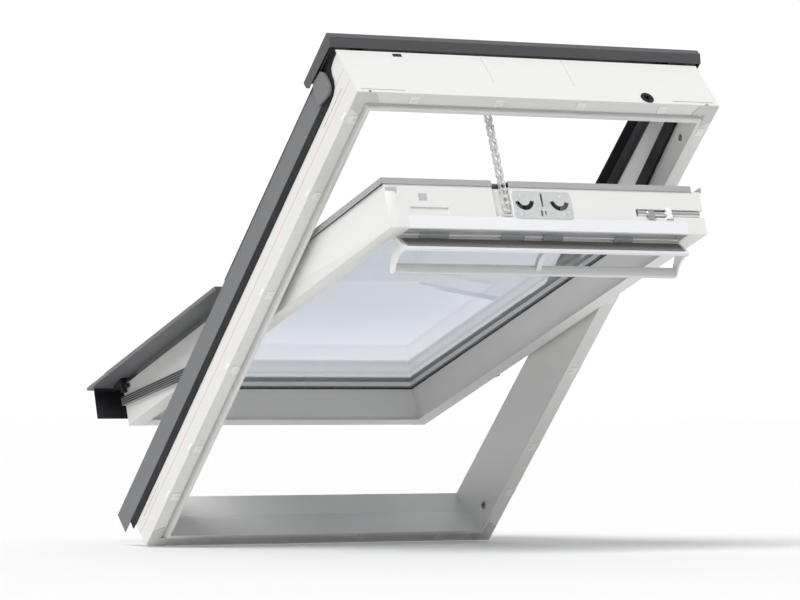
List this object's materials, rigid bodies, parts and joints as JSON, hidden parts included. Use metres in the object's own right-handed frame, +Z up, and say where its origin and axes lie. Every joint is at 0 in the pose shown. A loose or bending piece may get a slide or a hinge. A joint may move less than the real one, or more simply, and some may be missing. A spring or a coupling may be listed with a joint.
{
  "type": "centre-pivot roof window",
  "caption": "Centre-pivot roof window with its frame, a glazed sash that tilts open on a chain drive, and a ventilation flap with a handle bar.",
  "frame": {"origin": "middle of the frame's lower face, across its width and its depth; the window lies at a 45 degree roof pitch", "axes": "+X to the right as seen from the room, +Y towards the roof outside, +Z up"},
  "size_m": [0.804, 1.1098, 0.9443],
  "materials": {
    "white_polyurethane": "satin white coating",
    "corner_plastic": "satin",
    "clip_plastic": "satin",
    "black_rubber": "matt",
    "black_plastic": "matt",
    "grey_aluminium": "satin lacquer",
    "hood_aluminium": "satin lacquer",
    "light_grey_aluminium": "satin lacquer",
    "grey_plastic": "satin",
    "galvanised_steel": "galvanised",
    "chain_steel": "galvanised",
    "bolt_steel": "nickel plated",
    "zinc_casting": "dark",
    "drive_plastic": "satin",
    "clear_glass": "clear",
    "spacer_steel": "satin",
    "white_aluminium": "white lacquer",
    "silver_bar": "satin anodised",
    "cap_plastic": "satin",
    "clip_grey": "satin",
    "filter_felt": "felt"
  },
  "bodies": {
    "frame": {"frame_top_rail": "white_polyurethane", "frame_bottom_rail": "white_polyurethane", "frame_left_stile": "white_polyurethane", "frame_right_stile": "white_polyurethane", "corner_pieces": "corner_plastic", "lining_clips": "clip_plastic", "clip_screws": "galvanised_steel", "side_gaskets": "black_rubber", "side_cladding_left": "grey_aluminium", "side_cladding_right": "grey_aluminium", "top_hood": "hood_aluminium", "hood_cover_left": "grey_plastic", "hood_cover_right": "grey_plastic", "upper_cover_left": "grey_aluminium", "upper_cover_right": "grey_aluminium", "cover_gaskets": "black_rubber", "frame_seals": "black_rubber", "guide_plate_left": "galvanised_steel", "guide_plate_right": "galvanised_steel", "drive_housing": "drive_plastic", "drive_motor": "zinc_casting", "chain": "chain_steel", "cable_grommet": "black_rubber", "bolt_bushes": "bolt_steel", "hood_peg": "black_plastic"},
    "sash": {"sash_top_rail": "white_polyurethane", "sash_bottom_rail": "white_polyurethane", "sash_left_stile": "white_polyurethane", "sash_right_stile": "white_polyurethane", "inner_pane": "clear_glass", "outer_pane": "clear_glass", "glass_spacer": "spacer_steel", "glazing_gasket": "black_rubber", "rain_gasket": "black_rubber", "sash_cladding_top": "light_grey_aluminium", "sash_cladding_left": "light_grey_aluminium", "sash_cladding_right": "light_grey_aluminium", "lower_cladding_left": "grey_aluminium", "lower_cladding_right": "grey_aluminium", "lower_cladding_bottom": "grey_aluminium", "apron_seal": "black_rubber", "cladding_brackets": "black_plastic", "sash_seal_left": "black_rubber", "sash_seal_right": "black_rubber", "hinge_slide_left": "galvanised_steel", "hinge_slide_right": "galvanised_steel", "vent_trim": "white_aluminium", "lock_plate": "galvanised_steel", "chain_bracket": "galvanised_steel", "bolt_guide": "clip_plastic", "flap_rod": "galvanised_steel"},
    "flap": {"vent_flap": "white_aluminium", "filter_strip": "filter_felt", "handle_bar": "silver_bar", "end_caps": "cap_plastic", "bar_bracket": "silver_bar", "rod_clips": "clip_grey"},
    "bolt": {"barrel_bolt": "bolt_steel"},
    "claw_left": {"lock_claw_left": "zinc_casting"},
    "claw_right": {"lock_claw_right": "zinc_casting"}
  },
  "joints": [
    {"name": "sash_pivot", "type": "hinge", "parent": "frame", "child": "sash", "pos_m": [0, -0.34471, 0.48401], "axis": [1, 0, 0], "range_deg": [-26, 0], "deforming": ["chain"]},
    {"name": "flap_hinge", "type": "hinge", "parent": "sash", "child": "flap", "pos_m": [0, -0.8658, 0.54023], "axis": [1, 0, 0], "range_deg": [-49, 0]},
    {"name": "bolt_slide", "type": "slide", "parent": "sash", "child": "bolt", "axis": [1, 0, 0], "range_m": [0, 0.021]},
    {"name": "claw_left_turn", "type": "hinge", "parent": "sash", "child": "claw_left", "pos_m": [-0.05, -0.8857, 0.60683], "axis": [0, -0.9455, 0.3256], "range_deg": [-55, 0]},
    {"name": "claw_right_turn", "type": "hinge", "parent": "sash", "child": "claw_right", "pos_m": [0.025, -0.8857, 0.60683], "axis": [0, -0.9455, 0.3256], "range_deg": [0, 55]}
  ],
  "couplings": [
    {"joint": "claw_right_turn", "follows": "claw_left_turn", "ratio": -1}
  ]
}
